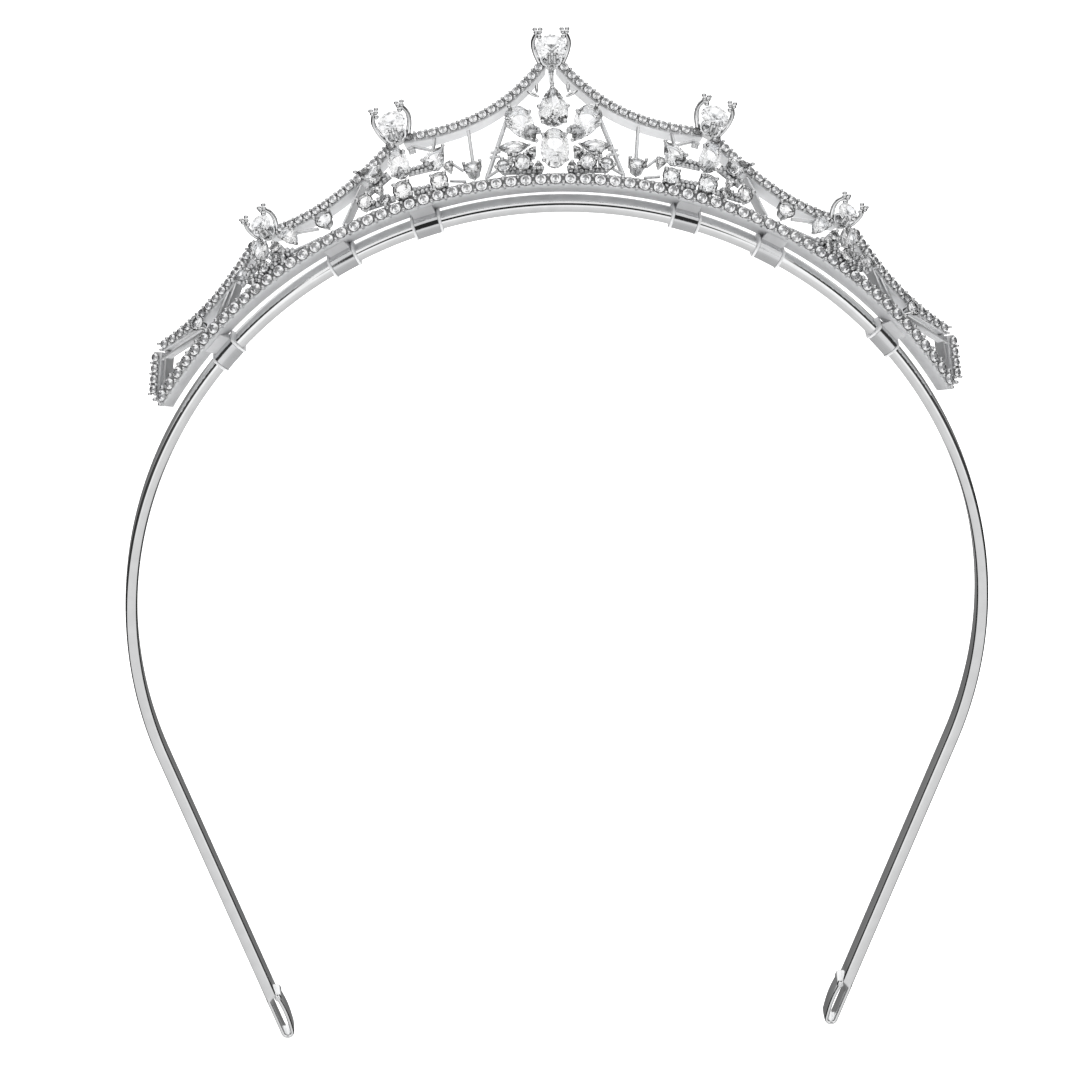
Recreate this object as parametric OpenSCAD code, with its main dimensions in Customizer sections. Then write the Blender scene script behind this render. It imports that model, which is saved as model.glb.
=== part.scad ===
// Bridal tiara: a sprung horseshoe headband that carries an openwork crown of
// stone-set rails, leaning back from the plane of the headband.
// Origin: the inner face of the headband at its top centre, where it meets the head.
// X to the wearer's side, +Y to the back, +Z up the headband.

/* [Headband] */
// Radius of the band's outer face over the head
band_r = 70.2; // [66:0.1:76]
// Thickness of the band, from its inner to its outer face
band_t = 2; // [1.6:0.1:2.4]
// Width of the band, front to back
band_w = 4.5; // [3.5:0.1:5.5]
// Slant of each straight leg towards the middle, degrees
leg_slant = 21; // [15:1:25]
// Height of the headband, from its top to the ends of its loops
band_h = 146.2; // [135:0.1:155]
// Length of the folded loop at each end
loop_len = 8; // [7:0.1:10]
// Width of the folded loop
loop_w = 2.3; // [2.2:0.1:3.6]
// Thickness of the flattened strip that forms the loop
loop_t = 0.75; // [0.65:0.05:0.9]

/* [Clips] */
// Places of the three clips on each side, in degrees from the top of the band
clip_at = [17.2, 29.2, 49.2];
// Length of a clip along the band
clip_len = 4.8; // [4:0.1:5.5]
// Wall of a clip
clip_t = 0.5; // [0.4:0.05:0.7]

/* [Crown] */
// Radius of the base rail's front edge
crown_r = 73.5; // [72:0.1:76]
// Lean of the crown back from the plane of the headband, degrees
lean = 42; // [35:1:48]
// Half of the angle that the base rail spans, degrees
rail_half_angle = 59.6; // [55:0.1:62]
// Depth of the rails, front to back
rail_depth = 3.2; // [2.8:0.1:3.8]
// Thickness of the strip behind the stones
strip_t = 0.7; // [0.5:0.05:0.9]
// Depth of the seat that carries the stones
seat_depth = 1.1; // [0.9:0.1:1.4]

/* [Stones] */
// Diameter of the stones on the base rail
base_stone_d = 2; // [1.8:0.05:2.1]
// Number of stones on the base rail
base_stones = 65; // [55:1:66]
// Diameter of the stones on the top rail
top_stone_d = 1.45; // [1.2:0.05:1.5]
// Diameter of the centre peak stone
centre_peak_d = 5; // [4:0.1:5.2]
// Diameter of the middle peak stones
middle_peak_d = 4.5; // [4:0.1:5]
// Diameter of the outer peak stones
outer_peak_d = 3.5; // [3:0.1:4]
// Diameter of the accent stones between the motifs
accent_stone_d = 3; // [2.4:0.1:3.2]

/* [Hidden] */

$fn = 24;
round_fn = 96;
corner_r = 0.45;
eps = 0.02;

band_z = band_t - band_r;
crown_y = band_w / 2 - rail_depth * cos(lean);
crown_z = band_t + rail_depth * sin(lean);
base_row_h = 0.72;
base_span = 2 * (rail_half_angle - 1.2);

// Outline of each top rail span as the three control points of a curve on the
// crown's surface: degrees from the middle, millimetres up from the base edge.
span_inner = [[0.95, 20.9], [6.6, 9.4], [16.9, 12.1]];
span_middle = [[17.9, 12.0], [26.8, 3.5], [35.4, 7.6]];
span_outer = [[37.1, 7.6], [45.6, 1.7], [54.1, 6.2]];
end_bar_line = [[54.9, 6.3], [57.1, 4.1], [59.1, 2.4]];
span_stones = [15, 15, 14, 4];

// Peaks: degrees from the middle, height of the stone's centre, size of the setting.
peak_centre = [0, 22.7, 5];
peak_middle = [17.5, 14.1, 5];
peak_outer = [35.3, 8.5, 4];
peak_proud = 0.56;
peak_tilt = 15;
// Prongs of a peak as points of a bent wire in sizes of the setting: two tall ones
// that mirror each other and a short one in front.
tall_prong = [[0.38, -0.2, -0.62], [0.53, 0.24, -0.06], [0.42, 0.34, 0.36]];
short_prong = [[0, -0.24, -0.64], [0, -0.55, -0.04], [0, -0.48, 0.18]];

// Places below are [degrees from the middle, height] on the right side, and the
// left side mirrors them. Rounds add the stone's diameter and the angle of the first
// prong; the ovals and pears of the groups add width, length and turn.
pear_place = [0, 13];
pear_size = [4.9, 7.3];
oval_place = [0, 5.65];
oval_size = [4.7, 7];
side_pear_place = [3.45, 10.1];
side_pear_size = [4.2, 7.3];
side_pear_turn = 148;
marquise_place = [4.75, 6.55];
marquise_size = [5, 2];
centre_rounds = [[6.15, 3.3, 2.4, 85], [3.85, 3.5, 3, 20], [2, 2.7, 1.4, 90],
    [5.2, 4.88, 1, 60], [2.65, 5.3, 1.4, 5]];
middle_oval = [18.1, 7.6, 3.4, 5.5, 0];
middle_pears = [[13.85, 6.95, 3.3, 4.6, 45], [21.7, 7.8, 2.9, 4.5, 300]];
middle_rounds = [[18.5, 3.05, 3.3, 45], [14, 2.8, 3, 45], [23.2, 3.5, 2.7, 30],
    [21, 2.55, 1.8, 30], [21.25, 4.65, 1.5, 25], [12.55, 4.95, 1.5, 20]];
outer_oval = [37.2, 5.4, 2.8, 3.7, 37];
outer_pears = [[33.2, 4.5, 2.6, 3.4, 168], [40.6, 4.15, 2.1, 3.4, 275]];
outer_rounds = [[35.2, 4.15, 1.7, 90], [37.75, 2.6, 2.2, 80], [35.25, 2.2, 1.6, 30],
    [39.95, 2, 1.4, 20]];
accents = [[9.8, 3.85, accent_stone_d, 26], [28.6, 3.9, accent_stone_d, 10],
    [48.5, 3.3, 0.87 * accent_stone_d, 6]];
// Height of the small round stones' girdles above the crown's surface.
round_proud = 1.4;
// Struts: from and to on the crown's surface, thickness and depth. Broad ones are the
// bridges that join neighbouring settings.
struts = [
    [[9.6, 10.9], [9.7, 4.6], 0.6, 0.6],
    [[5.2, 11.6], [8.3, 2.2], 0.65, 1],
    [[8.2, 2.4], [6.4, 3.6], 0.45, 0.6],
    [[12.5, 6.4], [11, 4.2], 0.45, 0.6],
    [[12.8, 3], [10.9, 2.3], 0.45, 0.6],
    [[14.2, 8], [13.4, 11], 0.5, 0.8],
    [[23, 7.1], [26.8, 2.1], 0.45, 2.8],
    [[29.9, 3.6], [33, 5.3], 0.45, 0.8],
    [[30, 1.9], [34, 2.5], 0.45, 1.2],
    [[41.8, 4.4], [44.9, 1.9], 0.45, 2.6],
    [[43.3, 4], [46.6, 1.9], 0.45, 2.6],
    [[49, 3.1], [53.4, 5.2], 0.45, 1],
    [[48.9, 1.9], [55.2, 4.8], 0.55, 1.8],
    [[54, 5.2], [57.4, 1.9], 0.35, 2.4],
    [[6.3, 6.4], [7.5, 6.5], 0.4, 0.6],
    [[6.4, 5.6], [7.7, 5.7], 0.4, 0.6],
    [[16.2, 10.5], [14.1, 8.9], 0.45, 0.8],
    [[15.9, 9.6], [16.7, 9.6], 0.9, 0.5],
    [[1.6, 2.5], [6.4, 2.9], 1.1, 0.7],
    [[1.5, 9.6], [3.2, 9.2], 1.2, 0.7],
    [[2.3, 5], [5.4, 4.9], 0.9, 0.6],
    [[17.4, 6.2], [14.4, 6], 1.3, 0.7],
    [[17.4, 2.6], [14.9, 2.5], 1.2, 0.7],
    [[19.8, 2.8], [23.2, 3], 1.2, 0.7],
    [[19.6, 7], [22.6, 5.4], 1.5, 0.7],
    [[33.6, 2.6], [40.2, 2.2], 1.1, 0.7],
    [[35.3, 5.4], [36.4, 3], 1.4, 0.7],
    [[38.4, 4.2], [41.6, 3.2], 1.1, 0.7],
];

function curve(c, s) = (1 - s) * (1 - s) * c[0] + 2 * s * (1 - s) * c[1] + s * s * c[2];
function surface_r(h) = crown_r + h * cos(lean);
function arc_mm(h) = surface_r(h) * PI / 180;
// A point on the crown: [degrees, height], z out of its surface and up the
// surface by y, as a position in the part's frame.
function crown_point(p, y, z) = let(
        h = p[1] + y,
        r = crown_r + h * cos(lean) + z * sin(lean))
    [r * sin(p[0]), crown_y + h * sin(lean) - z * cos(lean), crown_z - crown_r + r * cos(p[0])];
// Slope of a curve on the crown's surface, and the point a step up across the curve.
function heading(c, s) = let(d = curve(c, min(1, s + 0.02)) - curve(c, max(0, s - 0.02)))
    atan2(d[1], d[0] * arc_mm(curve(c, s)[1]));
function across(c, s, up, z) = let(p = curve(c, s), a = heading(c, s))
    crown_point([p[0] - up * sin(a) / arc_mm(p[1]), p[1] + up * cos(a)], 0, z);

function oval_outline(w, l) = [for (t = [0:18:342]) [w / 2 * cos(t), l / 2 * sin(t)]];
function pear_outline(w, l) =
    [for (t = [0:18:342]) [w / 1.54 * sin(t) * sin(t / 2), l / 2 * cos(t)]];
function marquise_outline(l, w) = [for (t = [-90:18:72]) [l / 2 * sin(t), w / 2 * pow(cos(t), 2)],
    for (t = [90:-18:-72]) [l / 2 * sin(t), -w / 2 * pow(cos(t), 2)]];

// Puts children on the crown: x to the right, y up its surface, z out of it.
module on_crown(theta, h)
    translate([0, crown_y, crown_z - crown_r])
        rotate([0, theta, 0])
            translate([0, 0, crown_r])
                rotate([-lean, 0, 0])
                    translate([0, 0, h])
                        rotate([90, 0, 0])
                            children();

module side(s) if (s < 0) mirror([1, 0, 0]) children(); else children();

module silver() color("silver") children();
module crystal() color([0.93, 0.96, 1, 0.6]) children();

// Sweeps a section about the band's axis, from angle a to b measured from the top.
module band_arc(a, b)
    translate([0, 0, band_z])
        rotate([0, a, 0])
            rotate([90, 0, 0])
                rotate([0, 0, 90])
                    rotate_extrude(angle = a - b, $fn = round_fn)
                        children();

// ---- Headband ----

// Flat outline of a leg and its folded loop: x runs down the leg, y out of the band.
// The strip folds back towards the head and its end curls against the leg.
module leg_outline() {
    leg_end = (band_h - band_r - (band_r - band_t / 2) * sin(leg_slant)) / cos(leg_slant);
    straight = leg_end - loop_len;
    strand = loop_len - loop_w / 2;
    curl_r = 0.8 * loop_t;
    translate([-eps, -band_t / 2]) square([straight + eps, band_t]);
    translate([straight - eps, band_t / 2 - loop_t]) square([strand + 2 * eps, loop_t]);
    translate([straight, band_t / 2 - loop_w]) square([strand + eps, loop_t]);
    translate([straight + strand, band_t / 2 - loop_w / 2])
        difference() {
            circle(d = loop_w, $fn = 48);
            circle(d = loop_w - 2 * loop_t, $fn = 48);
            translate([-loop_w, -loop_w]) square([loop_w, 2 * loop_w]);
        }
    translate([straight + curl_r / 2, -band_t / 2]) circle(r = curl_r);
}

module band_outline() {
    reach = 2 * band_r;
    difference() {
        circle(r = band_r, $fn = round_fn);
        circle(r = band_r - band_t, $fn = round_fn);
        polygon([[0, 0], [reach, -reach * tan(leg_slant)], [reach, -2 * reach],
            [-reach, -2 * reach], [-reach, -reach * tan(leg_slant)]]);
    }
    for (s = [0, 1])
        mirror([s, 0])
            rotate(-90 - leg_slant)
                translate([0, band_r - band_t / 2])
                    leg_outline();
}

module headband() silver()
    translate([0, 0, band_z])
        rotate([90, 0, 0])
            linear_extrude(band_w, center = true) band_outline();

// ---- Rails ----

// Section of a rail on the crown's axes: an L of a thin strip and a stone seat.
module rail_section()
    polygon([[0, 0], [0, -rail_depth], [strip_t, -rail_depth], [strip_t, -seat_depth],
        [base_stone_d, -seat_depth], [base_stone_d, 0]]);

// Sweeps a section on the crown's axes round the whole of the base rail.
module round_crown()
    translate([0, 0, crown_z - crown_r])
        rotate([0, -rail_half_angle, 0])
            rotate([90, 0, 0])
                rotate([0, 0, 90])
                    rotate_extrude(angle = -2 * rail_half_angle, $fn = round_fn)
                        translate([crown_r, -crown_y])
                            rotate(-lean)
                                children();

module base_rail() silver() round_crown() rail_section();

// A strip with a seat in front, swept along a span of the top rail.
module span_rail(c, steps = 18) {
    low = -top_stone_d / 2 - 0.1;
    section = [[low, 0], [top_stone_d / 2, 0], [top_stone_d / 2, -seat_depth + 0.2],
        [low + strip_t, -seat_depth + 0.2], [low + strip_t, -rail_depth], [low, -rail_depth]];
    n = len(section);
    points = [for (i = [0:steps], q = section) across(c, i / steps, q[0], q[1])];
    sides = [for (i = [0:steps - 1], j = [0:n - 1]) let(k = (j + 1) % n)
        [i * n + j, (i + 1) * n + j, (i + 1) * n + k, i * n + k]];
    caps = [[for (j = [0:n - 1]) j], [for (j = [n - 1:-1:0]) steps * n + j]];
    polyhedron(points, concat(sides, caps), convexity = 6);
}

// ---- Clips ----

// Outer section of a clip: a sleeve with chamfered inner corners, and above the band
// a saddle that fills the space up to the underside of the base rail.
module clip_section() {
    x = band_t / 2 + clip_t;
    y = band_w / 2 + clip_t;
    polygon([[x, y], [x + 2.3, -crown_y + 0.4], [x + 2.3, -y], [-x + corner_r, -y],
        [-x, -y + corner_r], [-x, y - corner_r], [-x + corner_r, y]]);
}

module clip(angle) {
    half = clip_len / band_r * 90 / PI;
    silver() difference() {
        band_arc(angle - half, angle + half)
            translate([band_r - band_t / 2, 0])
                difference() {
                    clip_section();
                    square([band_t, band_w], center = true);
                }
        rail_cutter();
    }
}

// All that lies above the underside of the base rail, so that a clip ends on it.
module rail_cutter()
    round_crown() translate([0, -rail_depth - 4]) square([5, rail_depth + 8]);

// ---- Stones ----

module round_stone(d)
    rotate_extrude()
        polygon([[0, -0.42 * d], [d / 2, -0.03 * d], [d / 2, 0.03 * d],
            [0.29 * d, 0.16 * d], [0, 0.16 * d]]);

// A stone cut to any outline, with its girdle at z = 0.
module fancy_stone(outline, depth)
    hull() {
        translate([0, 0, -0.6 * depth]) linear_extrude(eps) polygon(0.12 * outline);
        translate([0, 0, -0.04 * depth]) linear_extrude(0.08 * depth) polygon(outline);
        translate([0, 0, 0.3 * depth]) linear_extrude(eps) polygon(0.58 * outline);
    }

// ---- Settings ----

module prong(height, r = 0.3) {
    cylinder(h = height, r = r * 0.85);
    translate([0, 0, height]) sphere(r = r, $fn = 16);
}

// A ring on a short stem with prongs, for a round stone whose girdle is at z = 0.
module collet(d, drop, count, start, proud = 0.25, r = 0.28) {
    ring_r = 0.3 * d;
    translate([0, 0, -drop])
        difference() {
            cylinder(h = drop - 0.24 * d, r = ring_r + 0.22);
            translate([0, 0, -eps]) cylinder(h = drop, r = ring_r - 0.12);
        }
    for (i = [0:count - 1])
        rotate(start + i * 360 / count)
            translate([d / 2 + 0.45 * r, 0, -drop])
                prong(drop + proud, r);
}

// A low wall inside the girdle with prongs at the given shares of the outline.
module fancy_collet(outline, drop, at, proud = 0.3) {
    translate([0, 0, -drop])
        linear_extrude(0.35 * drop)
            difference() {
                polygon(0.72 * outline);
                polygon(0.5 * outline);
            }
    for (i = at)
        translate([1.03 * outline[i][0], 1.03 * outline[i][1], -drop])
            prong(drop + proud, 0.26);
}

module base_row()
    for (i = [0:base_stones - 1])
        on_crown(base_span * (i / (base_stones - 1) - 0.5), base_row_h)
            children();

module base_row_stones() crystal()
    base_row() translate([0, 0, 0.42 * base_stone_d]) round_stone(base_stone_d);

module base_row_prongs() silver()
    for (i = [0:base_stones])
        on_crown(base_span * ((i - 0.5) / (base_stones - 1) - 0.5), base_row_h)
            for (y = [-1, 1])
                translate([0, y * 0.32 * base_stone_d, 0])
                    prong(0.46 * base_stone_d, 0.26);

spans = [span_inner, span_middle, span_outer, end_bar_line];

// Places children along every span of the top rail, at whole or half steps.
module top_row(shift)
    for (s = [-1, 1], k = [0:3], i = [0:span_stones[k] - 1])
        let(c = spans[k], f = (i + shift + 0.5) / span_stones[k], p = curve(c, f))
            side(s)
                on_crown(p[0], p[1])
                    rotate(heading(c, f))
                        children();

module top_row_stones() crystal()
    top_row(0) translate([0, 0, 0.42 * top_stone_d]) round_stone(top_stone_d);

module top_row_prongs() silver() top_row(0.5)
    for (y = [-1, 1])
        translate([0, y * 0.36 * top_stone_d, 0])
            prong(0.44 * top_stone_d, 0.2);

// ---- Peaks ----

module on_peak(p, s)
    side(s)
        on_crown(p[0], p[1])
            translate([0, 0, peak_proud * p[2]])
                rotate([-peak_tilt, 0, 0])
                    children();

// A round rod from one point to another.
module rod(from, to, r) {
    d = to - from;
    translate(from)
        rotate([0, acos(d[2] / norm(d)), atan2(d[1], d[0])])
            cylinder(h = norm(d), r = r);
}

module bent_prong(points, d) {
    rod(d * points[0], d * points[1], 0.36);
    translate(d * points[1]) sphere(r = 0.38);
    rod(d * points[1], d * points[2], 0.36);
    translate(d * points[2]) sphere(r = 0.5);
}

module peak_setting(p, s) silver() on_peak(p, s) {
    bent_prong(tall_prong, p[2]);
    mirror([1, 0, 0]) bent_prong(tall_prong, p[2]);
    bent_prong(short_prong, p[2]);
    translate([0, -0.22 * p[2], -0.72 * p[2]]) cylinder(h = 0.22 * p[2], r = 0.4 * p[2]);
}

module peak_stone(p, s, d) crystal() on_peak(p, s) round_stone(d);

// ---- Centre motif ----

module apex_bar() silver()
    on_crown(0, 18.9) translate([0, 0, -0.5]) cube([0.9, 3.6, 1.2], center = true);

module centre_pear_stone() crystal()
    on_crown(pear_place[0], pear_place[1]) translate([0, 0, 1.5])
        fancy_stone(pear_outline(pear_size[0], pear_size[1]), 2.6);

module centre_pear_setting() silver()
    on_crown(pear_place[0], pear_place[1]) translate([0, 0, 1.5])
        fancy_collet(pear_outline(pear_size[0], pear_size[1]), 2, [0, 5, 8, 12, 15]);

module centre_oval_stone() crystal()
    on_crown(oval_place[0], oval_place[1]) translate([0, 0, 1.6])
        fancy_stone(oval_outline(oval_size[0], oval_size[1]), 2.4);

module centre_oval_setting() silver()
    on_crown(oval_place[0], oval_place[1]) translate([0, 0, 1.6])
        fancy_collet(oval_outline(oval_size[0], oval_size[1]), 2.1, [2, 8, 12, 18]);

module on_side_pear(s)
    side(s) on_crown(side_pear_place[0], side_pear_place[1])
        translate([0, 0, 1.2]) rotate(side_pear_turn) children();

module side_pear_stone(s) crystal()
    on_side_pear(s) fancy_stone(pear_outline(side_pear_size[0], side_pear_size[1]), 2.2);

module side_pear_setting(s) silver()
    on_side_pear(s)
        fancy_collet(pear_outline(side_pear_size[0], side_pear_size[1]), 1.7, [0, 6, 10, 14]);

module marquise_stone(s) crystal()
    side(s) on_crown(marquise_place[0], marquise_place[1]) translate([0, 0, 1])
        fancy_stone(marquise_outline(marquise_size[0], marquise_size[1]), 1.4);

module marquise_setting(s) silver()
    side(s) on_crown(marquise_place[0], marquise_place[1]) translate([0, 0, 1])
        fancy_collet(marquise_outline(marquise_size[0], marquise_size[1]), 1.5, [0, 10]);

// ---- Clusters ----

// Round stones on the crown, then their collets, at the given places of one side.
module stones_at(places, s)
    for (p = places)
        side(s) on_crown(p[0], p[1]) translate([0, 0, round_proud]) round_stone(p[2]);

module collets_at(places, s)
    for (p = places)
        side(s) on_crown(p[0], p[1]) translate([0, 0, round_proud])
            collet(p[2], round_proud + 0.5, p[2] > 2.2 ? 4 : 3, p[3]);

module fancy_at(p, s, proud)
    side(s) on_crown(p[0], p[1]) translate([0, 0, proud]) rotate(p[4]) children();

module centre_round_stones(s) crystal() stones_at(centre_rounds, s);
module centre_round_collets(s) silver() collets_at(centre_rounds, s);

module group_stones(oval, pears, rounds, s) crystal() {
    stones_at(rounds, s);
    fancy_at(oval, s, 1.3) fancy_stone(oval_outline(oval[2], oval[3]), 0.6 * oval[2]);
    for (p = pears) fancy_at(p, s, 1.1) fancy_stone(pear_outline(p[2], p[3]), 0.6 * p[2]);
}

module group_settings(oval, pears, rounds, s) silver() {
    collets_at(rounds, s);
    fancy_at(oval, s, 1.3) fancy_collet(oval_outline(oval[2], oval[3]), 1.8, [2, 8, 12, 18]);
    for (p = pears) fancy_at(p, s, 1.1) fancy_collet(pear_outline(p[2], p[3]), 1.6, [0, 7, 13]);
}

module middle_motif_stones(s) group_stones(middle_oval, middle_pears, middle_rounds, s);
module middle_motif_settings(s) group_settings(middle_oval, middle_pears, middle_rounds, s);
module outer_motif_stones(s) group_stones(outer_oval, outer_pears, outer_rounds, s);
module outer_motif_settings(s) group_settings(outer_oval, outer_pears, outer_rounds, s);

// ---- Accents ----

module on_accents()
    for (s = [-1, 1], p = accents)
        side(s) on_crown(p[0], p[1]) translate([0, 0, 1.3]) rotate([-p[3], 0, 0]) {
            $accent_d = p[2];
            children();
        }

module accent_stones() crystal() on_accents() round_stone($accent_d);
module accent_settings() silver() on_accents() collet($accent_d, 1.6, 3, 30, 0.45, 0.32);

// ---- Struts ----

// A thin bar between two places on the crown, its front edge level with the seats.
module strut(a, b, t, depth) {
    mid = (a + b) / 2;
    run = (b[0] - a[0]) * arc_mm(mid[1]);
    rise = b[1] - a[1];
    on_crown(mid[0], mid[1])
        rotate(atan2(rise, run))
            translate([0, 0, -depth / 2])
                cube([norm([run, rise]), t, depth], center = true);
}

module struts_of(s) silver() side(s) for (p = struts) strut(p[0], p[1], p[2], p[3]);

headband();
clip(-clip_at[0]);  // clip_left_inner
clip(-clip_at[1]);  // clip_left_middle
clip(-clip_at[2]);  // clip_left_outer
clip(clip_at[0]);  // clip_right_inner
clip(clip_at[1]);  // clip_right_middle
clip(clip_at[2]);  // clip_right_outer
base_rail();
base_row_prongs();
base_row_stones();
silver() side(-1) span_rail(span_inner);  // top_rail_left_inner
silver() side(-1) span_rail(span_middle);  // top_rail_left_middle
silver() side(-1) span_rail(span_outer);  // top_rail_left_outer
silver() side(1) span_rail(span_inner);  // top_rail_right_inner
silver() side(1) span_rail(span_middle);  // top_rail_right_middle
silver() side(1) span_rail(span_outer);  // top_rail_right_outer
silver() side(-1) span_rail(end_bar_line, 6);  // end_bar_left
silver() side(1) span_rail(end_bar_line, 6);  // end_bar_right
top_row_prongs();
top_row_stones();
peak_setting(peak_centre, 1);  // peak_setting_centre
peak_setting(peak_middle, -1);  // peak_setting_left
peak_setting(peak_middle, 1);  // peak_setting_right
peak_setting(peak_outer, -1);  // peak_setting_outer_left
peak_setting(peak_outer, 1);  // peak_setting_outer_right
peak_stone(peak_centre, 1, centre_peak_d);  // peak_stone_centre
peak_stone(peak_middle, -1, middle_peak_d);  // peak_stone_left
peak_stone(peak_middle, 1, middle_peak_d);  // peak_stone_right
peak_stone(peak_outer, -1, outer_peak_d);  // peak_stone_outer_left
peak_stone(peak_outer, 1, outer_peak_d);  // peak_stone_outer_right
apex_bar();
centre_pear_setting();
centre_pear_stone();
centre_oval_setting();
centre_oval_stone();
side_pear_setting(-1);  // side_pear_setting_left
side_pear_setting(1);  // side_pear_setting_right
side_pear_stone(-1);  // side_pear_stone_left
side_pear_stone(1);  // side_pear_stone_right
marquise_setting(-1);  // marquise_setting_left
marquise_setting(1);  // marquise_setting_right
marquise_stone(-1);  // marquise_stone_left
marquise_stone(1);  // marquise_stone_right
centre_round_collets(-1);  // centre_round_collets_left
centre_round_collets(1);  // centre_round_collets_right
centre_round_stones(-1);  // centre_round_stones_left
centre_round_stones(1);  // centre_round_stones_right
middle_motif_settings(-1);  // middle_motif_settings_left
middle_motif_settings(1);  // middle_motif_settings_right
middle_motif_stones(-1);  // middle_motif_stones_left
middle_motif_stones(1);  // middle_motif_stones_right
outer_motif_settings(-1);  // outer_motif_settings_left
outer_motif_settings(1);  // outer_motif_settings_right
outer_motif_stones(-1);  // outer_motif_stones_left
outer_motif_stones(1);  // outer_motif_stones_right
accent_settings();
accent_stones();
struts_of(-1);  // struts_left
struts_of(1);  // struts_right
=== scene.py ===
"""Looks of the bridal tiara. Lengths below are in millimetres and degrees, in the CAD frame."""
import math
import random

import bmesh
import bpy
from mathutils import Matrix, Quaternion, Vector


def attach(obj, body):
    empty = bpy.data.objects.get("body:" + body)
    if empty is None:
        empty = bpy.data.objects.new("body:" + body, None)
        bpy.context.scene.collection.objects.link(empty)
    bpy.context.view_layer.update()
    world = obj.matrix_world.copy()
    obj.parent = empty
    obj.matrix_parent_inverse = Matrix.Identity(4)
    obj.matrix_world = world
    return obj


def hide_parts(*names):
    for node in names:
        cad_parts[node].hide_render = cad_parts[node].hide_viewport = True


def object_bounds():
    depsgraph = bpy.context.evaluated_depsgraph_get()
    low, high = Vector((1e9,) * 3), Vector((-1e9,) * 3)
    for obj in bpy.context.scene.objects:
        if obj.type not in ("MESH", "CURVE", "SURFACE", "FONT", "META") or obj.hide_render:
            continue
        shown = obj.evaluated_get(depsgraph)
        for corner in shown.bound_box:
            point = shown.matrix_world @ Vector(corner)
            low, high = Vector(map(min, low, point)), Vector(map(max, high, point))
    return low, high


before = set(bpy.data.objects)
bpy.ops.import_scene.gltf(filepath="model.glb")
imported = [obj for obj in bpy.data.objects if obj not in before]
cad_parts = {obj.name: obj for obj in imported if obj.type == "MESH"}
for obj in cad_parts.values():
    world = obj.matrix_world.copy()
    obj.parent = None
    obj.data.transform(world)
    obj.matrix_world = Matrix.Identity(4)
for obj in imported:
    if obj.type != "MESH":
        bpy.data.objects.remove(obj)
CAD_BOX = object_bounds()

MM = 0.001
WORD = {1: "right", -1: "left"}

# ---- dimensions shared with the CAD ----
# headband: outer radius, thickness and depth; slant of the legs and whole height; loops; clips
BAND_R, BAND_T, BAND_W = 70.2, 2.0, 4.5
LEG_SLANT, BAND_H = 21.0, 146.2
LOOP_LEN, LOOP_W, LOOP_T = 8.0, 2.3, 0.75
CLIP_AT, CLIP_LEN, CLIP_T = (17.2, 29.2, 49.2), 4.8, 0.5
# crown: radius, backward lean and half its angle; depth and thickness of the rails, depth of their seats
CROWN_R, LEAN, RAIL_HALF = 73.5, 42.0, 59.6
RAIL_DEPTH, STRIP_T, SEAT_DEPTH = 3.2, 0.7, 1.1
# rows: sizes and number of the stones, height of the base row and the angle it takes
BASE_D, BASE_N, TOP_D = 2.0, 65, 1.45
BASE_H, BASE_SPAN = 0.72, 2 * (RAIL_HALF - 1.2)
# a row stone's girdle above its rail and its seat's depth, as shares of its size
GIRDLE_H, CUP_DEPTH = 0.34, 0.36
BAND_Z = BAND_T - BAND_R
LEG_LEN = ((BAND_H - BAND_R - (BAND_R - BAND_T / 2) * math.sin(math.radians(LEG_SLANT)))
           / math.cos(math.radians(LEG_SLANT)))
CROWN_Y = BAND_W / 2 - RAIL_DEPTH * math.cos(math.radians(LEAN))
CROWN_Z = BAND_T + RAIL_DEPTH * math.sin(math.radians(LEAN))

# scallops of the top rail: start, bend and end, each an angle and a height
SPANS = {"inner": ((0.95, 20.9), (6.6, 9.4), (16.9, 12.1)),
         "middle": ((17.9, 12.0), (26.8, 3.5), (35.4, 7.6)),
         "outer": ((37.1, 7.6), (45.6, 1.7), (54.1, 6.2)),
         "end": ((54.9, 6.3), (57.1, 4.1), (59.1, 2.4))}
SPAN_STONES = {"inner": 15, "middle": 15, "outer": 14, "end": 4}
# peaks: angle, height, size of the setting, size of the stone
PEAKS = {"centre": (0, 22.7, 5.0, 5.0), "middle": (17.5, 14.1, 5.0, 4.5), "outer": (35.3, 8.5, 4.0, 3.5)}
PEAK_PROUD, PEAK_TILT = 0.56, 15.0

rng = random.Random(7)


# ---- camera ----
def make_camera():
    """Well above the tiara and a little to its left, with a long lens."""
    az, el, roll = math.radians(-2.6), math.radians(22.0), math.radians(-0.3)
    back = Vector((math.sin(az) * math.cos(el), -math.cos(az) * math.cos(el), math.sin(el)))
    aim, distance = Vector((-0.0028, -0.000128, -0.05676)), 1.2
    cam = bpy.data.objects.new("camera", bpy.data.cameras.new("camera"))
    bpy.context.scene.collection.objects.link(cam)
    cam.data.sensor_width = 36.0
    cam.data.lens = 246.8
    cam.data.clip_start, cam.data.clip_end = 0.01, 100.0
    cam.location = aim + back * distance
    cam.rotation_mode = "QUATERNION"
    cam.rotation_quaternion = (-back).to_track_quat("-Z", "Y") @ Quaternion((0, 0, 1), roll)
    bpy.context.scene.camera = cam


# ---- node helpers ----
def new_tree(owner):
    owner.use_nodes = True
    tree = owner.node_tree
    tree.nodes.clear()
    return tree


def node(tree, kind, inputs=None, **props):
    n = tree.nodes.new(kind)
    for k, v in props.items():
        setattr(n, k, v)
    for k, v in (inputs or {}).items():
        if isinstance(v, bpy.types.NodeSocket):
            tree.links.new(v, n.inputs[k])
        else:
            n.inputs[k].default_value = v
    return n


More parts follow.
